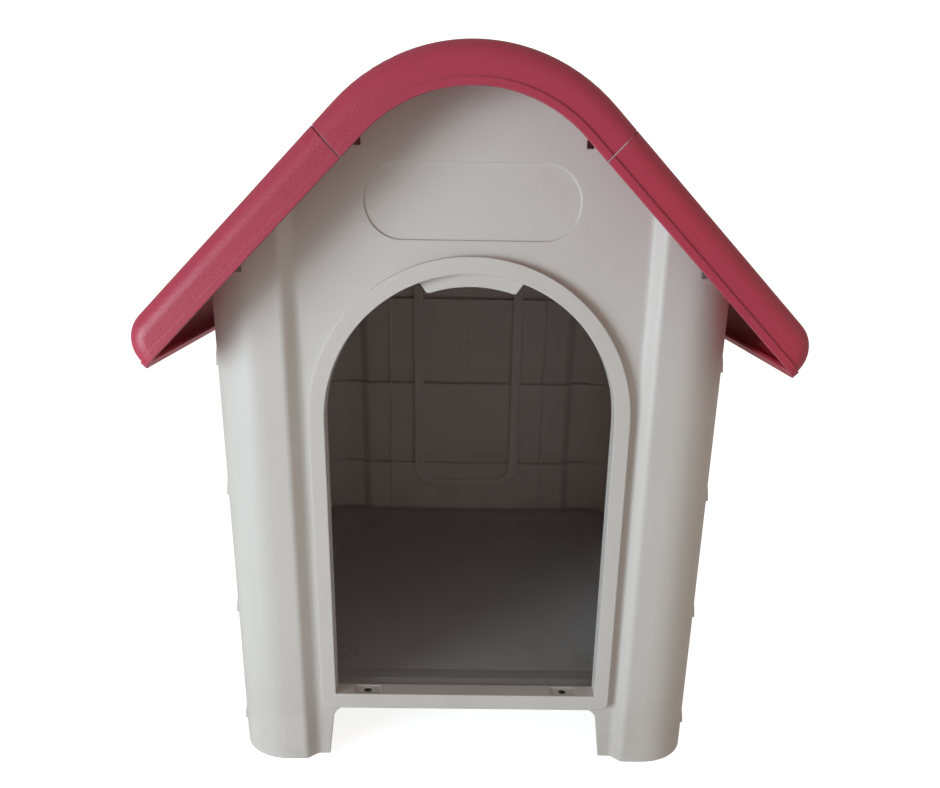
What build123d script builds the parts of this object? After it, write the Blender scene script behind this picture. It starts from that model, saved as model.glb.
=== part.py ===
"""Knock-down plastic animal kennel: four moulded walls, a raised floor tray and a lift-off roof in three sections.

Millimetres. +Z is up, -Y is the doorway side, and the origin is on the ground at the middle of the plan.
Walls are first drawn with their outer face at y = 0 and their inner side towards +y, then set in place.
"""

import os
from math import cos, radians, sin, sqrt, tan

from build123d import *

os.makedirs("parts", exist_ok=True)

# ---- overall sizes ----
roof_top = 665.5  # ground to the top of the ridge
wall_width = 468.0  # over the corner columns
wall_depth = 584.0  # front column face to rear column face
wall_sheet = 3.0  # moulded thickness of the four walls
gap = 0.3  # clearance between pieces that seat on each other

# ---- corner columns and the recessed panels between them ----
column_radius = 50.0
column_flat = 21.0  # straight face between a column's curve and the recess
column_tail = 18.0  # stepped-in flange of a column that lies behind a side wall
recess_depth = 10.0
recess_round = 8.0  # along both edges of the step beside a column

# ---- feet under the front and rear walls ----
skirt_height = 57.5
leg_inside = 134.0  # middle of the wall out to a leg, under the skirt
leg_spread = 7.0  # the gap between the legs is this much wider on each side at the ground
skirt_corner = 15.0

# ---- doorway ----
trim_half_width = 145.5
trim_width = 14.3
trim_foot = 3.5  # skirt edge up to the trim
sill_rise = 16.0  # trim's lower edge up to the sill
arch_spring = 360.5
trim_set_back = 2.0  # column face back to the trim face
trim_corner = 8.0
jamb_depth = 22.0
lip_depth = 11.7  # hanging lip under the top of the arch, for a flap
lip_half_angle = 20.5
lip_end_slant = 1.8  # the lip's lower edge is this much shorter at each end
lip_set_back = 12.0
lip_corner = 3.0

# ---- name panel over the doorway ----
name_half_width = 91.5
name_height = 62.0
name_clearance = 12.5  # trim top up to the panel's lower edge
name_depth = 1.5

# ---- lapped planks on the side and rear walls ----
plank_pitch = 128.5
plank_foot = 15.5  # lower edge of the lowest plank
plank_stand_out = 4.2  # how far a plank's lower edge stands proud of the column
plank_flare = 20.0  # height of the flared lower edge
plank_flare_depth = 2.7
plank_relief = 5.2  # lower edge to top edge
plank_groove = 2.6  # height of the groove over each ledge inside the rear wall
plank_groove_depth = 1.3

# ---- moulded detail of the rear wall ----
bead_half_width = 74.5
bead_width = 14.0
bead_foot = 114.5
bead_top = 500.0
bead_corner = 30.0
bead_height = 3.5
rib_half_spacing = 118.0
rib_width = 2.5
dimple_radius = 3.0
dimple_depth = 1.2
dimple_height = 340.0
dimple_ring = 16.0

# ---- floor tray ----
tray_sheet = 3.0
tray_drop = 12.0  # top of the border down to the rim's lower edge
tray_corner = 40.0
tray_round = 5.0
tray_clearance = 1.0
dish_depth = 5.0
dish_border = 18.0
dish_slope = 26.0
dish_corner = 44.0
tray_rib = 2.5
tray_rib_count = 4
tray_tab = 4.0
drain_radius = 1.2
drain_pitch = 5.5
drain_rings = 3
drain_from_front = 98.0
drain_from_middle = 138.0

# ---- roof ----
roof_pitch = 44.5
ridge_radius = 155.0
eave_overhang = 61.0  # column side out to the eave corner
roof_overhang = 45.0  # past the front and rear column faces
roof_sheet = 3.0
rim_depth = 33.0
rim_round = 16.0  # outer edge of the front and rear rims
eave_round = 28.0  # where a slope turns down into its eave
lip_band = 6.0  # lower band of the rim
lip_proud = 1.5
seam_offset = 24.0  # end of the ridge curve to the seam with the slope section
seam_gap = 1.0
tongue_length = 15.0
tongue_sheet = 3.0
tongue_from_walls = 26.0
eave_flange = 8.0  # inward return along an eave's lower edge
eave_rib = 2.5
eave_rib_depth = 3.5
eave_rib_count = 14
lug_width = 5.4
lug_inset = 18.0
cap_lug_x = 96.0
slope_lug_inset = 35.0  # in from the column side
notch_cover = 5.0  # a notch ends this far above the rim's lower edge
notch_window = 7.0  # open height left under a lug

# ---- fasteners ----
screw_radius = 1.9
screw_hole = 2.2
screw_head = 3.6
screw_head_height = 2.0
screw_bite = 0.05  # radial clearance of a thread drawn as a plain shank
boss_radius = 4.5
boss_clearance = 0.4
washer_head = 6.0
floor_screw_x = 99.5
sill_screw_y = 12.0  # behind the column face
sill_boss = 6.5
sill_boss_half = 13.0
sill_boss_sink = 0.8
bracket_reach = 26.0
bracket_sheet = 4.0
corner_screw_heights = (125.0, 255.0, 385.0)
corner_screw_length = 4.5
joint_screw_count = 3

# ---- places that follow from the sizes above ----
half_width = wall_width / 2
half_depth = wall_depth / 2
recess_half_width = half_width - column_radius - column_flat
column_return = column_radius + column_tail
joggle = wall_sheet + gap + plank_relief - plank_stand_out  # column side in to its stepped-in flange
corner_boss_y = column_radius + column_tail / 2
corner_seat = half_width - joggle - wall_sheet  # inner face of the flange
inner_panel = recess_depth + wall_sheet
trim_bottom = skirt_height + trim_foot
trim_top = arch_spring + trim_half_width
sill_height = trim_bottom + sill_rise
door_half_width = trim_half_width - trim_width
tray_bottom = skirt_height + bracket_sheet
floor_height = tray_bottom + tray_drop
rear_screw_y = inner_panel + bracket_reach - 9.0
tray_half_width = half_width - joggle - wall_sheet - tray_clearance
tray_front = -half_depth + inner_panel + tray_clearance
tray_sill = -half_depth + jamb_depth + tray_clearance
tray_rear = half_depth - inner_panel - plank_relief + plank_stand_out - bead_height - tray_clearance
pitch = radians(roof_pitch)
ridge_centre = roof_top - ridge_radius
slope_length = (half_width + eave_overhang - ridge_radius * sin(pitch)) / cos(pitch)
seat_depth = roof_sheet + gap  # roof surface down to the walls' top edge
slope_lug_x = half_width - slope_lug_inset
roof_half_depth = half_depth + roof_overhang


def roof_height(x, depth):
    """Height of the layer that lies at this depth, square to the roof, under the roof surface."""
    radius = ridge_radius - depth
    if abs(x) < radius * sin(pitch):
        return ridge_centre + sqrt(radius**2 - x**2)
    return ridge_centre + radius / cos(pitch) - abs(x) * tan(pitch)


def slope_point(along, depth, side=1):
    """(x, z) at a distance down the slope from the end of the ridge curve, and a depth under the roof surface."""
    radius = ridge_radius - depth
    x = radius * sin(pitch) + along * cos(pitch)
    z = ridge_centre + radius * cos(pitch) - along * sin(pitch)
    return side * x, z


def slope_line_at(x, depth):
    """Height of the slope's straight line, carried on past the ridge curve."""
    return ridge_centre + (ridge_radius - depth) / cos(pitch) - abs(x) * tan(pitch)


def upright(points, y):
    """Vectors of (x, z) points that stand in the plane at this y."""
    return [Vector(x, y, z) for x, z in points]


def polygon(points, y=0.0):
    """An upright face with straight sides."""
    corners = upright(points, y)
    return make_face(Wire([Edge.make_line(a, b) for a, b in zip(corners, corners[1:] + corners[:1])]))


def slab(face, thickness):
    """An upright face given a thickness towards +y."""
    return extrude(face, amount=thickness, dir=(0, 1, 0))


def box(x0, x1, y0, y1, z0, z1):
    return Pos((x0 + x1) / 2, (y0 + y1) / 2, (z0 + z1) / 2) * Box(x1 - x0, y1 - y0, z1 - z0)


def rod(radius, start, direction, length):
    """A cylinder from its start point along a direction."""
    return extrude(Plane(origin=start, z_dir=direction) * Circle(radius), amount=length)


def gable_face(depth, foot, half, y=0.0):
    """Everything between a foot line and the roof layer at this depth, out to this half width."""
    radius = ridge_radius - depth
    x = radius * sin(pitch)
    z = ridge_centre + radius * cos(pitch)
    shoulder = slope_line_at(half, depth)
    left = [(-half, foot), (-half, shoulder), (-x, z)]
    p = upright([*left, (0, ridge_centre + radius), (x, z), (half, shoulder), (half, foot)], y)
    edges = [Edge.make_line(p[0], p[1]), Edge.make_line(p[1], p[2]), Edge.make_three_point_arc(p[2], p[3], p[4])]
    edges += [Edge.make_line(p[4], p[5]), Edge.make_line(p[5], p[6]), Edge.make_line(p[6], p[0])]
    return make_face(Wire(edges))


def door_face(half, foot, y, corner=0.0):
    """Arched doorway outline: straight sides, a half-round top on the arch centre, and rounded lower corners."""
    r = corner
    a, b = upright([(-half + r, foot), (half - r, foot)], y)
    c, d, e = upright([(half, foot + r), (half, arch_spring), (0, arch_spring + half)], y)
    f, g = upright([(-half, arch_spring), (-half, foot + r)], y)
    edges = [Edge.make_line(a, b)]
    if r:
        k = r * (1 - sqrt(0.5))
        m, n = upright([(half - k, foot + k), (-half + k, foot + k)], y)
        edges.append(Edge.make_three_point_arc(b, m, c))
    edges += [Edge.make_line(c, d), Edge.make_three_point_arc(d, e, f), Edge.make_line(f, g)]
    if r:
        edges.append(Edge.make_three_point_arc(g, n, a))
    return make_face(Wire(edges))


def wall_plan(inset, lean=0.0):
    """Plan of a wall with both columns: everything behind its face, drawn in by an inset and leaned back further."""
    half = half_width - inset
    straight = half_width - column_radius
    radius = column_radius - inset
    step = column_radius - inset  # the flange steps in where the curve ends
    curve_end = straight + sqrt(radius**2 - inset**2)
    middle = (straight + radius * sqrt(0.5), column_radius - radius * sqrt(0.5) + lean / 2)
    face = inset + lean
    far = column_return + (2 if inset else 0)
    side_line = [(half - joggle, far), (half - joggle, step), (curve_end, step)]
    shift = face * (sqrt(2) - 1)
    edge, floor = recess_half_width + shift, recess_half_width - recess_depth + shift
    across = [(edge, face), (floor, face + recess_depth), (-floor, face + recess_depth), (-edge, face)]
    points = [*side_line, (straight, face), *across, (-straight, face), *((-x, y) for x, y in reversed(side_line))]
    edges = []
    for a, b in zip(points, points[1:] + points[:1]):
        if {a, b} in ({points[2], points[3]}, {points[8], points[9]}):
            bulge = (middle[0] if a[0] > 0 else -middle[0], middle[1])
            edges.append(Edge.make_three_point_arc((*a, 0), (*bulge, 0), (*b, 0)))
        else:
            edges.append(Edge.make_line((*a, 0), (*b, 0)))
    plan = make_face(Wire(edges))
    for x, y, radius in ((edge, face, recess_round - inset), (floor, face + recess_depth, recess_round + inset)):
        corners = [v for v in plan.vertices() if same(abs(v.X), x) and same(v.Y, y)]
        plan = fillet(corners, radius)
    return plan


def same(a, b):
    return abs(a - b) < 0.05


def screw(seat, direction, length, head):
    """Pan head that seats at a point, with its shank running along the direction."""
    away = Vector(*direction) * -1
    body = rod(screw_radius, seat, direction, length)
    return body + rod(head, seat, away, screw_head_height)


def front_shell():
    """Smooth wall with two columns and a recessed panel between them."""
    return extrude(wall_plan(0.0), amount=roof_top) - extrude(wall_plan(wall_sheet), amount=roof_top)


def rear_volume(inset):
    """Everything behind the rear wall's lapped planks, which lean in towards their tops."""
    volume = None
    for foot in plank_lines(roof_top):
        levels = [Pos(0, 0, foot + up + inset) * wall_plan(inset, -out) for up, out in plank_profile()]
        plank = loft(levels, ruled=True)
        volume = plank if volume is None else volume + plank
    return volume


def fit_wall(shell):
    """A wall cut to the roof line and the feet, with notches for the roof lugs and holes for the side wall bosses."""
    shell &= slab(gable_face(seat_depth, 0.0, half_width + 5, -10), column_return + 10)
    foot = leg_inside + leg_spread
    between = [(-foot, 0), (-leg_inside, skirt_height), (leg_inside, skirt_height), (foot, 0)]
    legs = slab(polygon(between, -2 * inner_panel), 4 * inner_panel)
    shell -= fillet(legs.edges().filter_by(Axis.Y).group_by(Axis.Z)[-1], skirt_corner)
    half = lug_width / 2 + gap
    for side in (-1, 1):
        for x in (side * cap_lug_x, side * slope_lug_x):
            shell -= box(x - half, x + half, -10, lug_inset + 10, notch_foot(x), roof_top)
        for z in corner_screw_heights:
            shell -= rod(boss_radius + boss_clearance, (side * half_width, corner_boss_y, z), (-side, 0, 0), 20)
    return shell


def notch_foot(x):
    """Lower end of the notch that takes a roof lug."""
    return roof_height(x, rim_depth) + notch_cover


def front_wall():
    """Wall with the arched doorway: raised trim, jamb and sill, flap lip, name panel and screw bosses in the sill."""
    wall = fit_wall(front_shell())
    face, back = trim_set_back, inner_panel
    lap = 1.0
    wall -= slab(door_face(trim_half_width - lap, trim_bottom + lap, -5, trim_corner), 60)
    trim = slab(door_face(trim_half_width, trim_bottom, face, trim_corner), wall_sheet)
    rim = slab(door_face(trim_half_width, trim_bottom, face, trim_corner), back - face)
    rim -= slab(
        door_face(trim_half_width - wall_sheet, trim_bottom + wall_sheet, face - 1, trim_corner - wall_sheet),
        back + 2,
    )
    jamb = slab(door_face(door_half_width + wall_sheet, sill_height - wall_sheet, face), jamb_depth - face)
    opening = slab(door_face(door_half_width, sill_height, face - 5), jamb_depth + 20)
    wall = wall + rim + trim + jamb - opening + flap_lip()
    radius = name_height / 2
    outline = Plane.XZ * SlotOverall(2 * name_half_width, name_height)
    panel = Pos(0, recess_depth - 1, trim_top + name_clearance + radius) * outline
    wall -= extrude(panel, amount=1 + name_depth, dir=(0, 1, 0))
    for side in (-1, 1):
        x = side * floor_screw_x
        x0, x1 = x - sill_boss_half, x + sill_boss_half
        wall += box(x0, x1, face + 1, jamb_depth - 1, sill_height - sill_boss, sill_height)
        inset = wall_sheet
        wall -= box(x0, x1, face + inset, jamb_depth - inset, sill_height - sill_boss_sink, sill_height + 1)
        wall -= rod(screw_hole, (x, sill_screw_y, sill_height), (0, 0, -1), 2 * sill_boss)
        wall -= rod(screw_head + boss_clearance, (x, sill_screw_y, sill_height), (0, 0, -1), sill_boss / 2)
    return wall


def flap_lip():
    """Ring segment that hangs inside the top of the arch and takes the upper edge of a flap."""
    outer, inner = door_half_width + 1, door_half_width - lip_depth
    wide = radians(lip_half_angle)
    narrow = radians(lip_half_angle - lip_end_slant)
    ring = []
    for angle, radius in ((-narrow, inner), (0, inner), (narrow, inner), (wide, outer), (0, outer), (-wide, outer)):
        ring.append((radius * sin(angle), arch_spring + radius * cos(angle)))
    p = upright(ring, lip_set_back)
    edges = [Edge.make_three_point_arc(p[0], p[1], p[2]), Edge.make_line(p[2], p[3])]
    edges += [Edge.make_three_point_arc(p[3], p[4], p[5]), Edge.make_line(p[5], p[0])]
    lip = slab(make_face(Wire(edges)), wall_sheet)
    return fillet(lip.edges().filter_by(Axis.Y).group_by(Axis.Z)[0], lip_corner)


def plank_lines(top):
    """Heights of the planks' lower edges, from one below the ground up to a top."""
    lines = [plank_foot - plank_pitch]
    while lines[-1] + plank_pitch < top:
        lines.append(lines[-1] + plank_pitch)
    return lines


def plank_profile():
    """(up, out) corners of a plank's outer face from its lower edge, 0 out being the column face."""
    middle = (plank_flare / 2, plank_stand_out - plank_flare_depth / 3)
    flare_top = (plank_flare, plank_stand_out - plank_flare_depth)
    return [(0.0, plank_stand_out), middle, flare_top, (plank_pitch, plank_stand_out - plank_relief)]


def plank_out(z):
    """How far a side wall's outer face stands proud of the column at a height."""
    up = (z - plank_foot) % plank_pitch
    corners = plank_profile()
    for (a, out_a), (b, out_b) in zip(corners, corners[1:]):
        if up <= b:
            return out_a + (out_b - out_a) * (up - a) / (b - a)


def plank_outline():
    """(outward, up) outline of the lapped side sheet."""
    outside = []
    for z in plank_lines(roof_top)[1:]:
        outside += [(out, z + up) for up, out in plank_profile()]
    inside = [(outside[0][0] - wall_sheet, outside[0][1])]
    inside += [(out - wall_sheet, z + wall_sheet) for out, z in outside[1:]]
    return outside + inside[::-1]


def rear_wall():
    """Wall of planks with an arched bead, two ribs and dimples on its inner face, and brackets under the tray."""
    volume = rear_volume(0.0)
    shell = volume - rear_volume(wall_sheet)
    for foot in plank_lines(roof_top)[1:]:
        ledge = foot + wall_sheet
        for half, face in ((half_width, wall_sheet), (recess_half_width - recess_depth, inner_panel)):
            back = face - plank_stand_out
            shell -= box(-half, half, back - plank_groove_depth, back + 0.5, ledge, ledge + plank_groove)
    wall = fit_wall(shell)
    inner = inner_panel + plank_relief - plank_stand_out
    bead = slab(rounded_arch(bead_half_width + bead_width / 2, bead_foot - bead_width / 2, 0), inner + bead_height)
    bead -= slab(rounded_arch(bead_half_width - bead_width / 2, bead_foot + bead_width / 2, -1), 2 * inner)
    details = [bead]
    for side in (-1, 1):
        x = side * rib_half_spacing
        rib_top = roof_height(x, rim_depth)
        details.append(box(x - rib_width / 2, x + rib_width / 2, 0, inner + 1, skirt_height, rib_top))
        x = side * floor_screw_x
        x0, x1 = x - sill_boss_half, x + sill_boss_half
        details.append(box(x0, x1, 0, inner_panel + bracket_reach, tray_bottom - bracket_sheet, tray_bottom))
    for detail in details:
        wall += detail & volume
    for side in (-1, 1):
        seat = (side * floor_screw_x, rear_screw_y, tray_bottom + 1)
        wall -= rod(screw_hole, seat, (0, 0, -1), 2 * bracket_sheet)
    places = [(0, 0), (0, 2 * dimple_ring), (0, -2 * dimple_ring)]
    places += [(dimple_ring * sin(radians(a)), dimple_ring * cos(radians(a))) for a in range(0, 360, 60)]
    for x, z in places:
        height = dimple_height + z
        face = inner_panel - plank_out(height - wall_sheet)
        wall -= rod(dimple_radius, (x, face - dimple_depth, height), (0, 1, 0), 10)
    return wall


def rounded_arch(half, foot, y):
    """Upright outline with rounded lower corners and a half-round top."""
    r = bead_corner + (half - bead_half_width)
    k = r * (1 - sqrt(0.5))
    spring = bead_top - bead_half_width
    p = upright([(-half + r, foot), (half - r, foot), (half - k, foot + k), (half, foot + r), (half, spring)], y)
    q = upright([(0, spring + half), (-half, spring), (-half, foot + r), (-half + k, foot + k)], y)
    edges = [Edge.make_line(p[0], p[1]), Edge.make_three_point_arc(p[1], p[2], p[3]), Edge.make_line(p[3], p[4])]
    edges += [Edge.make_three_point_arc(p[4], q[0], q[1]), Edge.make_line(q[1], q[2])]
    edges.append(Edge.make_three_point_arc(q[2], q[3], p[0]))
    return make_face(Wire(edges))


def side_wall():
    """Right-hand wall of lapped planks. Bosses at its ends pass through the flanges of the columns."""
    reach = half_depth - column_radius - gap
    wall = slab(polygon([(half_width + out, z) for out, z in plank_outline()], -reach), 2 * reach)
    inside = half_width + plank_out(tray_bottom) - wall_sheet / 2
    wall += box(tray_half_width - 2 * tray_sheet, inside, -reach / 2, reach / 2, tray_bottom - wall_sheet, tray_bottom)
    wall &= slab(gable_face(seat_depth, 0, half_width + 20, -half_depth), wall_depth)
    for end in (-1, 1):
        y = end * (half_depth - corner_boss_y)
        for z in corner_screw_heights:
            root = half_width + plank_out(z) - wall_sheet / 2
            length = root - (corner_seat + gap)
            wall += rod(boss_radius, (root, y, z), (-1, 0, 0), length)
            wall -= rod(screw_radius + screw_bite, (root, y, z), (-1, 0, 0), length + 1)
    return wall


def corner_screws(side, end):
    """Three washer-head screws that hold a column's flange to a side wall's bosses."""
    y = end * (half_depth - corner_boss_y)
    seats = [(side * corner_seat, y, z) for z in corner_screw_heights]
    return [screw(seat, (side, 0, 0), corner_screw_length, washer_head) for seat in seats]


def tray_block(inset):
    """The tray's outer form, or with an inset the hollow under it."""
    half = tray_half_width - inset
    front = tray_front + inset
    rear = tray_rear - inset
    top = floor_height - inset
    body = box(-half, half, front - recess_depth, rear + recess_depth, tray_bottom - inset, top)
    body = fillet(body.edges().filter_by(Axis.Z), tray_corner - inset)
    ear = recess_half_width + wall_sheet + tray_clearance + inset
    for end, reach in ((-1, front), (1, rear)):
        near, far = sorted((reach, reach + end * 2 * recess_depth))
        body -= box(-ear, ear, near, far, tray_bottom - 5, top + 5)
    notch = door_half_width + wall_sheet + 2 * tray_clearance + inset
    body -= box(-notch, notch, front - 20, tray_sill + inset, tray_bottom - 5, top + 5)
    rim = body.faces().sort_by(Axis.Z)[-1].edges()
    return fillet(rim, tray_round - inset)


def tray_dish(grow):
    """The shallow hollow in the tray's top, or grown by the sheet thickness to shape the underside."""
    front, rear = tray_sill + dish_border, tray_rear - dish_border
    half = tray_half_width - dish_border
    levels = []
    for inset, z in ((0.0, floor_height), (dish_slope, floor_height - dish_depth)):
        width, length = 2 * (half - inset + grow), rear - front - 2 * inset + 2 * grow
        outline = RectangleRounded(width, length, dish_corner - inset + grow)
        levels.append(Pos(0, (front + rear) / 2, z - grow) * outline)
    dish = loft(levels, ruled=True)
    lid = extrude(levels[0], amount=10)
    return dish + lid


def floor_tray():
    """Raised floor: dished top, turned-down rim, ribs underneath, drain holes and screw tabs under the sill."""
    hollow = tray_block(tray_sheet)
    tray = tray_block(0.0) - (hollow - tray_dish(tray_sheet))
    size = hollow.bounding_box()
    for k in range(1, tray_rib_count + 1):
        x = size.min.X + k * (size.max.X - size.min.X) / (tray_rib_count + 1)
        y = size.min.Y + k * (size.max.Y - size.min.Y) / (tray_rib_count + 1)
        low, high = tray_bottom + tray_clearance, floor_height - tray_sheet / 2
        along = box(x - tray_rib / 2, x + tray_rib / 2, size.min.Y - 1, size.max.Y + 1, low, high)
        across = box(size.min.X - 1, size.max.X + 1, y - tray_rib / 2, y + tray_rib / 2, low, high)
        tray += (along + across) & tray_block(tray_sheet / 2)
    tray -= tray_dish(0.0)
    for side in (-1, 1):
        x = side * floor_screw_x
        tab_top = sill_height - sill_boss - gap
        tab_front = -half_depth + trim_set_back + wall_sheet + tray_clearance
        tray += box(x - tray_tab * 3, x + tray_tab * 3, tab_front, tray_sill + tray_sheet, tab_top - tray_tab, tab_top)
        tray -= rod(screw_radius + screw_bite, (x, sill_screw_y - half_depth, tab_top + 5), (0, 0, -1), 20)
        y = half_depth - rear_screw_y
        bore = screw_radius + screw_bite
        tray += rod(boss_radius, (x, y, tray_bottom), (0, 0, 1), floor_height - tray_sheet - tray_bottom)
        tray -= rod(bore, (x, y, tray_bottom - 1), (0, 0, 1), floor_height - tray_sheet - tray_bottom)
        middle = Pos(side * drain_from_middle, drain_from_front - half_depth, floor_height)
        for column, row in hex_places(drain_rings):
            at = middle * Pos(column * drain_pitch, row * drain_pitch, 0)
            tray -= at * Cylinder(drain_radius, 4 * tray_drop)
    return tray


def hex_places(rings):
    """(x, y) of a hexagon of evenly spaced points, one pitch apart."""
    places = []
    for row in range(-rings, rings + 1):
        count = 2 * rings + 1 - abs(row)
        places += [(k - (count - 1) / 2, row * sqrt(0.75)) for k in range(count)]
    return places


def sill_screws():
    """Two screws down through the sill into the tray's tabs."""
    seat = sill_height - sill_boss / 2
    y = sill_screw_y - half_depth
    return [screw((side * floor_screw_x, y, seat), (0, 0, -1), 8.0, screw_head) for side in (-1, 1)]


def rear_floor_screws():
    """Two screws up through the rear wall's brackets into the tray's bosses."""
    y = half_depth - rear_screw_y
    seat = tray_bottom - bracket_sheet
    return [screw((side * floor_screw_x, y, seat), (0, 0, 1), 10.0, screw_head) for side in (-1, 1)]


def roof_band(near, far, along, y0, y1):
    """Volume between two depths under the roof surface, over the ridge and down both slopes."""
    outline = []
    for depth in (near, far):
        radius = ridge_radius - depth
        outline.append([slope_point(along, depth, -1), slope_point(0, depth, -1), (0, ridge_centre + radius)])
        outline[-1] += [slope_point(0, depth), slope_point(along, depth)]
    top, under = (upright(points, y0) for points in outline)
    edges = []
    for p in (top, under):
        edges += [Edge.make_line(p[0], p[1]), Edge.make_three_point_arc(p[1], p[2], p[3]), Edge.make_line(p[3], p[4])]
    edges += [Edge.make_line(top[0], under[0]), Edge.make_line(top[4], under[4])]
    return extrude(make_face(Wire(edges)), amount=y1 - y0, dir=(0, 1, 0))


def rounded_roof(inset):
    """The roof as a thick slab with its outer edges rounded, or with an inset the hollow under it."""
    ends = roof_half_depth - inset
    along = slope_length - inset
    foot = rim_depth + (10 if inset else 0)
    block = roof_band(inset, foot, along, -ends, ends)
    eaves = [e for e in block.edges() if same(along_of(e.center()), along) and same(depth_of(e.center()), inset)]
    block = fillet(eaves, eave_round - inset)
    rims = []
    for e in block.edges():
        ends_there = all(same(abs(e.position_at(t).Y), ends) for t in (0, 0.5, 1))
        if ends_there and not same(depth_of(e.position_at(0.5)), foot):
            rims.append(e)
    return fillet(rims, rim_round - inset)


def depth_of(point):
    """How deep a point lies under the roof surface, square to it."""
    x, z = abs(point.X), point.Z - ridge_centre
    if x * cos(pitch) < z * sin(pitch):
        return ridge_radius - sqrt(x * x + z * z)
    return ridge_radius - (x * sin(pitch) + z * cos(pitch))


def along_of(point):
    """Distance of a point down the slope from the end of the ridge curve."""
    return abs(point.X) * cos(pitch) - (point.Z - ridge_centre) * sin(pitch)


def roof_shell():
    """The whole roof before it is cut into sections: a rounded shell with a banded lower edge."""
    hollow = rounded_roof(roof_sheet)
    shell = rounded_roof(0.0) - hollow
    ends = roof_half_depth + lip_proud
    along = slope_length + lip_proud
    band = roof_band(rim_depth - lip_band, rim_depth, along, -ends, ends)
    corners = [e for e in band.edges() if same(abs(e.center().Y), ends) and same(along_of(e.center()), along)]
    band = fillet(corners, rim_round + lip_proud)
    return shell + (band - hollow)


def section_cutter(side, along0, along1):
    """A block that holds the part of the roof between two distances down one slope."""
    deep = rim_depth + 30
    points = [slope_point(along0, -30), slope_point(along1, -30), slope_point(along1, deep), slope_point(along0, deep)]
    ends = roof_half_depth + 20
    return slab(polygon([(side * x, z) for x, z in points], -ends), 2 * ends)


def joint_screw_places():
    reach = half_depth - tongue_from_walls - 40
    return [-reach + 2 * reach * k / (joint_screw_count - 1) for k in range(joint_screw_count)]


def on_slope(side, along, depth, y):
    x, z = slope_point(along, depth, side)
    return (x, y, z)


def inward(side):
    return (-side * sin(pitch), 0, -cos(pitch))


def lug(x, side, end):
    """Rib under the roof that drops into a notch of the front or rear wall."""
    foot = notch_foot(x) + notch_window
    top = roof_height(x, roof_sheet - 1) - lug_width / 2
    y0, y1 = sorted((end * (half_depth + 2), end * (half_depth - lug_inset)))
    return box(side * x - lug_width / 2, side * x + lug_width / 2, y0, y1, foot, top)


def roof_cap(shell):
    """Ridge section: the curve of the roof, with bosses for the screws that join it to the slopes."""
    cap = shell
    for side in (-1, 1):
        cap -= section_cutter(side, seam_offset - seam_gap / 2, slope_length + 50)
        for end in (-1, 1):
            cap += lug(cap_lug_x, side, end)
        for y in joint_screw_places():
            start = on_slope(side, seam_offset - 8, roof_sheet - 1, y)
            cap += rod(boss_radius, start, inward(side), 1 + gap + tongue_sheet)
            bore = on_slope(side, seam_offset - 8, 1.0, y)
            cap -= rod(screw_radius + screw_bite, bore, inward(side), 30)
    return cap


def roof_slope(shell, side):
    """Slope section: tongue under the ridge section, lugs for the wall notches and ribs along the eave."""
    part = shell & section_cutter(side, seam_offset + seam_gap / 2, slope_length + 50)
    reach = half_depth - tongue_from_walls
    under = roof_sheet + gap
    for along0, along1, depth0 in (
        (seam_offset - tongue_length, seam_offset + 10, under),
        (seam_offset + seam_gap / 2 + gap, seam_offset + 10, roof_sheet - 1),
    ):
        points = [slope_point(along0, depth0), slope_point(along1, depth0)]
        points += [slope_point(along1, under + tongue_sheet), slope_point(along0, under + tongue_sheet)]
        part += slab(polygon([(side * x, z) for x, z in points], -reach), 2 * reach)
    for y in joint_screw_places():
        start = on_slope(side, seam_offset - 8, roof_sheet, y)
        part -= rod(boss_radius + boss_clearance, start, inward(side), 20)
    for end in (-1, 1):
        part += lug(slope_lug_x, side, end)
    first = (half_width + plank_stand_out + lug_width - slope_point(0, roof_sheet)[0]) / cos(pitch)
    last = slope_length - 2
    reach = roof_half_depth - rim_round
    eave = rounded_roof(0.0)
    strips = []
    for k in range(eave_rib_count):
        y = -reach + (k + 0.5) * 2 * reach / eave_rib_count
        strips.append((first, last, roof_sheet - 1, roof_sheet + eave_rib_depth, y - eave_rib / 2, eave_rib))
    flange = (rim_depth - roof_sheet, rim_depth, 1 - roof_half_depth, 2 * roof_half_depth - 2)
    strips.append((last - eave_flange, last, *flange))
    for along0, along1, depth0, depth1, y, thickness in strips:
        points = [slope_point(along0, depth0), slope_point(along1, depth0)]
        points += [slope_point(along1, depth1), slope_point(along0, depth1)]
        part += slab(polygon([(side * x, z) for x, z in points], y), thickness) & eave
    return part


def joint_screws(side):
    """Screws from inside that hold a slope section's tongue to the ridge section."""
    seat_depth_under = roof_sheet + gap + tongue_sheet
    away = Vector(*inward(side)) * -1
    outward = (away.X, away.Y, away.Z)
    places = joint_screw_places()
    return [
        screw(on_slope(side, seam_offset - 8, seat_depth_under, y), outward, tongue_sheet + gap + 1.5, washer_head)
        for y in places
    ]


def save(name, shape):
    """One STEP file for each node. A list of solids is kept as one group."""
    if isinstance(shape, list):
        shape = Compound(children=shape)
    export_step(shape, f"parts/{name}.step")


to_front = Pos(0, -half_depth, 0)
to_rear = Pos(0, half_depth, 0) * Rot(0, 0, 180)

save("front_wall", to_front * front_wall())
save("rear_wall", to_rear * rear_wall())
right = side_wall()
save("side_wall_right", right)
save("side_wall_left", mirror(right, about=Plane.YZ))
save("floor_tray", floor_tray())
save("sill_screws", sill_screws())
save("rear_floor_screws", rear_floor_screws())
for side, side_name in ((-1, "left"), (1, "right")):
    for end, end_name in ((-1, "front"), (1, "rear")):
        save(f"corner_screws_{end_name}_{side_name}", corner_screws(side, end))

whole_roof = roof_shell()
save("roof_ridge_cap", roof_cap(whole_roof))
for side, side_name in ((-1, "left"), (1, "right")):
    save(f"roof_slope_{side_name}", roof_slope(whole_roof, side))
    save(f"roof_joint_screws_{side_name}", joint_screws(side))
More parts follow.
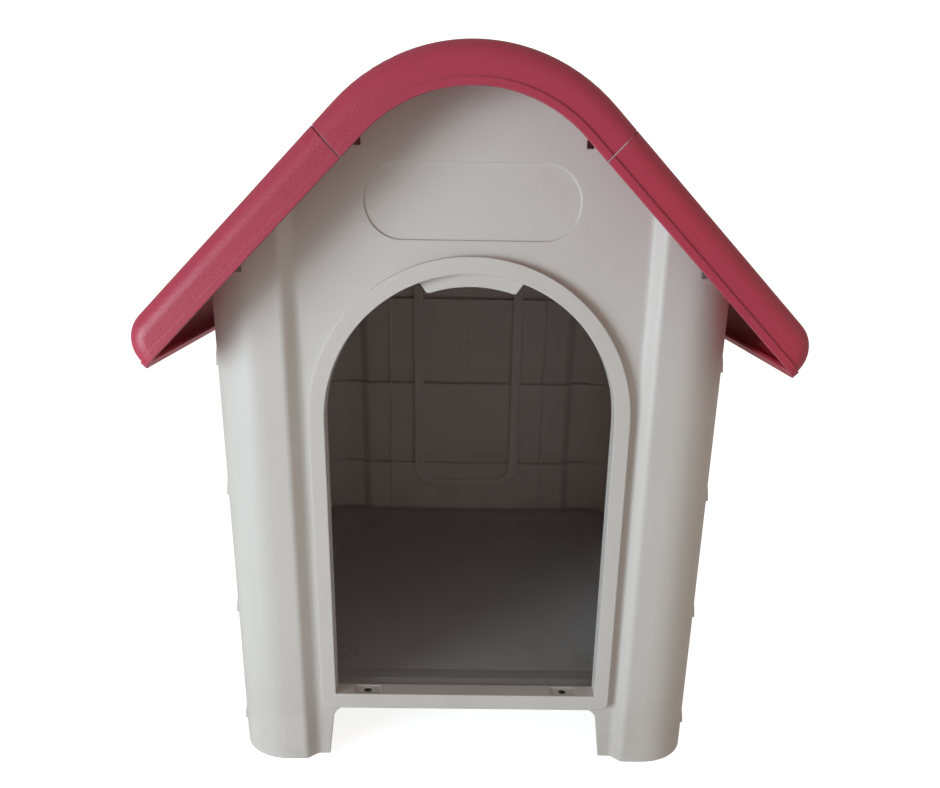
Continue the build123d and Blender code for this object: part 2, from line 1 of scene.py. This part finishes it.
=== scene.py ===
import math

import bmesh
import bpy
from mathutils import Matrix, Vector

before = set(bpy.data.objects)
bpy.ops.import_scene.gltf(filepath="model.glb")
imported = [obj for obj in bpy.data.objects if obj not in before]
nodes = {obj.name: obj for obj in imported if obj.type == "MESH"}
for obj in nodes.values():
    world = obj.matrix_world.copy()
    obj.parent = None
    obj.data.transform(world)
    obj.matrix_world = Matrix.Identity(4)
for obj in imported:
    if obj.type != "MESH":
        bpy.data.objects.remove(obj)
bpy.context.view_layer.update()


# ---- the four walls ----
# Front, rear and side walls are injection moulded from one off-white plastic, 3 mm thick.
# The mould leaves soft corners, a fine spark-eroded grain and slow, faint changes of tone.
def new_group(name, inputs, outputs):
    group = bpy.data.node_groups.new(name, "ShaderNodeTree")
    for label, value in inputs.items():
        socket = group.interface.new_socket(label, in_out="INPUT", socket_type="NodeSocketFloat")
        socket.default_value = value
    for label, kind in outputs.items():
        group.interface.new_socket(label, in_out="OUTPUT", socket_type=kind)
    made = group.nodes, group.links
    return group, *made, made[0].new("NodeGroupInput"), made[0].new("NodeGroupOutput")


def noise(made, wires, place, scale, detail, roughness=0.5):
    texture = made.new("ShaderNodeTexNoise")
    texture.inputs["Detail"].default_value = detail
    texture.inputs["Roughness"].default_value = roughness
    wires.new(place, texture.inputs["Vector"])
    if isinstance(scale, (int, float)):
        texture.inputs["Scale"].default_value = scale
    else:
        wires.new(scale, texture.inputs["Scale"])
    return texture.outputs["Fac"]


def spread(made, wires, value, low, high, out_low=0.0, out_high=1.0):
    """Stretch a band of a value over another band, held at both ends."""
    ranged = made.new("ShaderNodeMapRange")
    ranged.interpolation_type = "SMOOTHSTEP"
    for label, number in (("From Min", low), ("From Max", high), ("To Min", out_low), ("To Max", out_high)):
        ranged.inputs[label].default_value = number
    wires.new(value, ranged.inputs["Value"])
    return ranged.outputs["Result"]


def moulded_skin():
    """Grain, softened corners and masks shared by every moulded plastic of the kennel."""
    outputs = {"Normal": "NodeSocketVector", "Drift": "NodeSocketFloat", "Grain": "NodeSocketFloat"}
    outputs |= {"Edge": "NodeSocketFloat", "Scuff": "NodeSocketFloat"}
    inputs = {"Grain Scale": 900.0, "Grain Height": 0.1, "Corner Radius": 0.0015, "Scuff Scale": 14.0}
    group, made, wires, given, result = new_group("moulded_skin", inputs, outputs)
    place = made.new("ShaderNodeTexCoord").outputs["Object"]
    grain = noise(made, wires, place, given.outputs["Grain Scale"], 2.0, 0.6)
    soft = made.new("ShaderNodeBevel")
    soft.samples = 6
    wires.new(given.outputs["Corner Radius"], soft.inputs["Radius"])
    bump = made.new("ShaderNodeBump")
    bump.inputs["Distance"].default_value = 0.0006
    wires.new(given.outputs["Grain Height"], bump.inputs["Strength"])
    wires.new(grain, bump.inputs["Height"])
    wires.new(soft.outputs["Normal"], bump.inputs["Normal"])
    flat = made.new("ShaderNodeNewGeometry").outputs["True Normal"]
    facing = made.new("ShaderNodeVectorMath")
    facing.operation = "DOT_PRODUCT"
    wires.new(soft.outputs["Normal"], facing.inputs[0])
    wires.new(flat, facing.inputs[1])
    # Edge mask: where the softened normal bends, on corners and creases alike; it pales the colour, part wear
    # and part painted highlight.
    edge_wear_and_highlight = spread(made, wires, facing.outputs["Value"], 0.99, 0.8)
    drift = spread(made, wires, noise(made, wires, place, 3.2, 3.0), 0.3, 0.7)
    streaks = made.new("ShaderNodeMapping")
    streaks.inputs["Rotation"].default_value = (0.5, 0.9, 0.3)
    streaks.inputs["Scale"].default_value = (1.0, 9.0, 1.0)
    wires.new(place, streaks.inputs["Vector"])
    scuff = noise(made, wires, streaks.outputs["Vector"], given.outputs["Scuff Scale"], 8.0, 0.7)
    wires.new(bump.outputs["Normal"], result.inputs["Normal"])
    wires.new(drift, result.inputs["Drift"])
    wires.new(spread(made, wires, grain, 0.35, 0.65), result.inputs["Grain"])
    wires.new(edge_wear_and_highlight, result.inputs["Edge"])
    wires.new(spread(made, wires, scuff, 0.6, 0.72), result.inputs["Scuff"])
    return group


skin = moulded_skin()


def blend(made, wires, mask, first, second, strength=1.0):
    """Two colours mixed by a mask. Either may be a fixed colour or the output of an earlier blend."""
    mix = made.new("ShaderNodeMix")
    mix.data_type = "RGBA"
    factor = made.new("ShaderNodeMath")
    factor.operation = "MULTIPLY"
    factor.inputs[1].default_value = strength
    wires.new(mask, factor.inputs[0])
    wires.new(factor.outputs[0], mix.inputs[0])
    for socket, colour in ((mix.inputs[6], first), (mix.inputs[7], second)):
        if isinstance(colour, tuple):
            socket.default_value = (*colour, 1.0)
        else:
            wires.new(colour, socket)
    return mix.outputs[2]


def moulded_plastic(name, tones, dust, gloss, grain_scale, grain_height, corner, coat=0.0):
    """Plastic with two slowly drifting tones, dust low down, paler edges that are partly wear and partly
    painted highlight, and fine scuffs.
    """
    dust_reach, grain_share, dust_share, edge_wear_and_highlight_share, scuff_rough = 0.16, 0.16, 0.22, 0.35, 0.12
    material = bpy.data.materials.new(name)
    material.use_nodes = True
    made, wires = material.node_tree.nodes, material.node_tree.links
    made.clear()
    surface = made.new("ShaderNodeGroup")
    surface.node_tree = skin
    surface.inputs["Grain Scale"].default_value = grain_scale
    surface.inputs["Grain Height"].default_value = grain_height
    surface.inputs["Corner Radius"].default_value = corner
    place = made.new("ShaderNodeTexCoord").outputs["Object"]
    split = made.new("ShaderNodeSeparateXYZ")
    wires.new(place, split.inputs[0])
    low = spread(made, wires, split.outputs["Z"], dust_reach, 0.0)
    cloudy = made.new("ShaderNodeMath")
    cloudy.operation = "MULTIPLY"
    wires.new(low, cloudy.inputs[0])
    wires.new(spread(made, wires, noise(made, wires, place, 22.0, 6.0, 0.65), 0.4, 0.7), cloudy.inputs[1])
    colour = blend(made, wires, surface.outputs["Drift"], tones[0], tones[1])
    colour = blend(made, wires, surface.outputs["Grain"], colour, tones[2], grain_share)
    colour = blend(made, wires, cloudy.outputs[0], colour, dust, dust_share)
    # Paler tone on every edge and crease: partly wear, partly painted highlight.
    colour = blend(made, wires, surface.outputs["Edge"], colour, tones[3], edge_wear_and_highlight_share)
    shade = made.new("ShaderNodeBsdfPrincipled")
    wires.new(colour, shade.inputs["Base Color"])
    rough = made.new("ShaderNodeMath")
    rough.operation = "MULTIPLY_ADD"
    rough.inputs[1].default_value = scuff_rough
    rough.inputs[2].default_value = gloss
    wires.new(surface.outputs["Scuff"], rough.inputs[0])
    wires.new(rough.outputs[0], shade.inputs["Roughness"])
    wires.new(surface.outputs["Normal"], shade.inputs["Normal"])
    shade.inputs["IOR"].default_value = 1.49
    shade.inputs["Coat Weight"].default_value = coat
    shade.inputs["Coat Roughness"].default_value = 0.3
    sheet = made.new("ShaderNodeOutputMaterial")
    wires.new(shade.outputs["BSDF"], sheet.inputs["Surface"])
    return material


def dress(names, material):
    for name in names:
        nodes[name].data.materials.clear()
        nodes[name].data.materials.append(material)


# The fourth tone of each set is the paler edge colour, partly wear and partly painted highlight.
wall_tones = (0.66, 0.62, 0.585), (0.70, 0.665, 0.63), (0.60, 0.565, 0.53), (0.80, 0.78, 0.76)
wall_plastic = moulded_plastic("wall_plastic", wall_tones, (0.42, 0.37, 0.31), 0.46, 700.0, 0.12, 0.0016)
dress(["front_wall", "rear_wall", "side_wall_left", "side_wall_right"], wall_plastic)

# ---- the floor tray ----
# A separate mid-grey moulding with a shallow dish, lifted clear of the ground on ledges and brackets.
# It carries the animal, so it is duller and more scuffed than the walls.
# Fourth tone: paler edge colour, partly wear and partly painted highlight.
tray_tones = (0.40, 0.41, 0.41), (0.45, 0.455, 0.455), (0.33, 0.335, 0.335), (0.60, 0.61, 0.61)
tray_plastic = moulded_plastic("tray_plastic", tray_tones, (0.30, 0.28, 0.24), 0.5, 600.0, 0.2, 0.0012)
dress(["floor_tray"], tray_plastic)

# ---- the roof ----
# Ridge section and two slope sections in crimson plastic, each with a rolled rim and a raised lip band.
# The slopes' tongues tuck under the ridge section and are screwed to it from inside.
# Fourth tone: paler pink edge colour, partly wear and partly painted highlight on the rims and lips.
roof_tones = (0.54, 0.045, 0.09), (0.46, 0.046, 0.09), (0.30, 0.022, 0.045), (0.62, 0.20, 0.27)
roof_plastic = moulded_plastic("roof_plastic", roof_tones, (0.30, 0.06, 0.07), 0.42, 600.0, 0.45, 0.0014, 0.1)
dress(["roof_ridge_cap", "roof_slope_left", "roof_slope_right"], roof_plastic)


# ---- the screws ----
# Small pan-head screws of dark zinc-plated steel hold flanges, tray and roof sections together.
def plated_steel():
    material = bpy.data.materials.new("screw_steel")
    material.use_nodes = True
    made, wires = material.node_tree.nodes, material.node_tree.links
    made.clear()
    place = made.new("ShaderNodeTexCoord").outputs["Object"]
    tarnish = spread(made, wires, noise(made, wires, place, 180.0, 5.0, 0.7), 0.35, 0.7)
    turned = noise(made, wires, place, 2400.0, 2.0)
    shade = made.new("ShaderNodeBsdfPrincipled")
    shade.inputs["Metallic"].default_value = 0.9
    wires.new(blend(made, wires, tarnish, (0.20, 0.19, 0.18), (0.09, 0.08, 0.07)), shade.inputs["Base Color"])
    wires.new(spread(made, wires, tarnish, 0.0, 1.0, 0.3, 0.6), shade.inputs["Roughness"])
    bump = made.new("ShaderNodeBump")
    bump.inputs["Strength"].default_value = 0.15
    bump.inputs["Distance"].default_value = 0.0002
    wires.new(turned, bump.inputs["Height"])
    wires.new(bump.outputs["Normal"], shade.inputs["Normal"])
    sheet = made.new("ShaderNodeOutputMaterial")
    wires.new(shade.outputs["BSDF"], sheet.inputs["Surface"])
    return material


dress([name for name in nodes if "screws" in name], plated_steel())

# ---- the studio ----
# A plain white floor and surround, with soft cool light from low on the left and a weaker warm fill.
bm = bmesh.new()
bmesh.ops.create_grid(bm, x_segments=1, y_segments=1, size=12)
ground = bpy.data.meshes.new("studio_floor")
bm.to_mesh(ground)
bm.free()
floor = bpy.data.objects.new("studio_floor", ground)
bpy.context.scene.collection.objects.link(floor)
paper = bpy.data.materials.new("studio_paper")
paper.use_nodes = True
made, wires = paper.node_tree.nodes, paper.node_tree.links
paper_shade = made["Principled BSDF"]
paper_shade.inputs["Base Color"].default_value = (0.94, 0.94, 0.94, 1)
paper_shade.inputs["Roughness"].default_value = 0.9
paper_shade.inputs["Emission Color"].default_value = (1, 1, 1, 1)
lift = made.new("ShaderNodeMath")
lift.operation = "MULTIPLY"
lift.inputs[1].default_value = 0.85
wires.new(made.new("ShaderNodeLightPath").outputs["Is Camera Ray"], lift.inputs[0])
wires.new(lift.outputs[0], paper_shade.inputs["Emission Strength"])
ground.materials.append(paper)

world = bpy.data.worlds.new("studio")
bpy.context.scene.world = world
world.use_nodes = True
made, wires = world.node_tree.nodes, world.node_tree.links
surround = made["Background"]
surround.inputs["Color"].default_value = (1.0, 0.89, 0.79, 1.0)
surround.inputs["Strength"].default_value = 0.34
backdrop = made.new("ShaderNodeBackground")
backdrop.inputs["Strength"].default_value = 1.6
seen = made.new("ShaderNodeMixShader")
wires.new(made.new("ShaderNodeLightPath").outputs["Is Camera Ray"], seen.inputs[0])
wires.new(surround.outputs[0], seen.inputs[1])
wires.new(backdrop.outputs[0], seen.inputs[2])
wires.new(seen.outputs[0], made["World Output"].inputs["Surface"])


def window(name, at, to, size, power, colour):
    lamp = bpy.data.lights.new(name, "AREA")
    lamp.shape = "RECTANGLE"
    lamp.size, lamp.size_y = size
    lamp.energy = power
    lamp.color = colour
    lamp_object = bpy.data.objects.new(name, lamp)
    bpy.context.scene.collection.objects.link(lamp_object)
    lamp_object.location = at
    lamp_object.rotation_euler = (Vector(to) - Vector(at)).to_track_quat("-Z", "Y").to_euler()


window("window_left", (-2.0, -1.9, 0.25), (0, -0.1, 0.3), (1.2, 1.2), 64, (0.78, 0.91, 1.0))
window("window_right", (2.6, -1.2, 1.0), (0, 0, 0.3), (1.4, 1.4), 3, (1.0, 0.93, 0.86))

picture_width, picture_middle, film_width = 940, 394, 36
focal, horizon, tilt, roll, turn = 870.2, 508.2, 0.3522, 0.0168, 0.0102
aside, height, distance = -0.0061, 0.5602, 0.7619
column_face = -0.292
forward = Vector((math.sin(turn) * math.cos(tilt), math.cos(turn) * math.cos(tilt), -math.sin(tilt)))
right = Vector((math.cos(turn), -math.sin(turn), 0))
up = right.cross(forward)
rolled_right = right * math.cos(roll) + up * math.sin(roll)
rolled_up = up * math.cos(roll) - right * math.sin(roll)
lens = bpy.data.cameras.new("camera")
lens.sensor_width = film_width
lens.lens = focal / picture_width * film_width
lens.shift_y = (horizon - picture_middle) / picture_width
lens.clip_start = 0.01
camera = bpy.data.objects.new("camera", lens)
bpy.context.scene.collection.objects.link(camera)
camera.matrix_world = Matrix((rolled_right, rolled_up, -forward)).transposed().to_4x4()
camera.location = (aside, column_face - distance, height)
bpy.context.scene.camera = camera
bpy.context.scene.view_settings.view_transform = "Standard"
